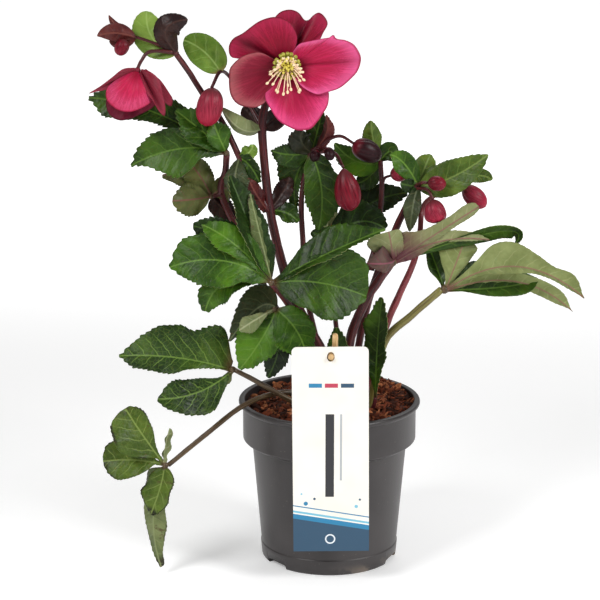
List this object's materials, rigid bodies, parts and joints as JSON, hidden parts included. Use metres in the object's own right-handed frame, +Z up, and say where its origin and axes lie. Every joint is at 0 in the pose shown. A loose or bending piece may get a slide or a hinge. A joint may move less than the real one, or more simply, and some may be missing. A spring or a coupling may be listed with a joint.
{
  "type": "hellebore plant",
  "caption": "Potted hellebore: toothed palmate leaves, crimson cupped flowers and buds on dark stems, in a round nursery pot with a plain label card",
  "frame": {"origin": "centre of the pot's base, on the ground", "axes": "+Z up along the pot's axis, -Y towards the label card, +X to the right as seen from the front"},
  "size_m": [0.3437, 0.1349, 0.3962],
  "materials": {
    "pot_plastic": "matte",
    "soil_bark": "rough",
    "label_card": "semi-gloss",
    "bamboo": "satin",
    "bud_crimson": "satin",
    "stamen_cream": "matte",
    "sepal_crimson": "satin",
    "stem_red": "satin",
    "stem_olive": "satin",
    "stem_purple": "satin",
    "leaf_underside": "matte",
    "leaf_green": "satin"
  },
  "bodies": {
    "root": {"bud_back": "bud_crimson", "bud_dark": "bud_crimson", "bud_far_right": "bud_crimson", "bud_hanging_left": "bud_crimson", "bud_middle_large": "bud_crimson", "bud_middle_small_a": "bud_crimson", "bud_middle_small_b": "bud_crimson", "bud_right_lower": "bud_crimson", "bud_right_upper": "bud_crimson", "bud_small_left": "bud_crimson", "flower_left_sepals": "sepal_crimson", "flower_main_sepals": "sepal_crimson", "flower_main_stamens": "stamen_cream", "label_card": "label_card", "label_stick": "bamboo", "leaf_back": "leaf_green", "leaf_centre": "leaf_green", "leaf_front": "leaf_green", "leaf_left_low": "leaf_green", "leaf_left_middle": "leaf_green", "leaf_olive": "leaf_underside", "leaf_right": "leaf_underside", "leaf_spreading": "leaf_underside", "leaf_upper_left": "leaf_green", "petiole_back": "stem_purple", "petiole_centre": "stem_purple", "petiole_front": "stem_purple", "petiole_left_low": "stem_purple", "petiole_left_middle": "stem_purple", "petiole_right": "stem_olive", "petiole_spreading": "stem_purple", "petiole_upper_left": "stem_purple", "pot": "pot_plastic", "shoot_low_middle": "stem_purple", "shoot_low_right": "stem_purple", "soil": "soil_bark", "stem_main": "stem_purple", "stem_middle": "stem_purple", "stem_red": "stem_red", "stem_right": "stem_purple"}
  },
  "joints": []
}
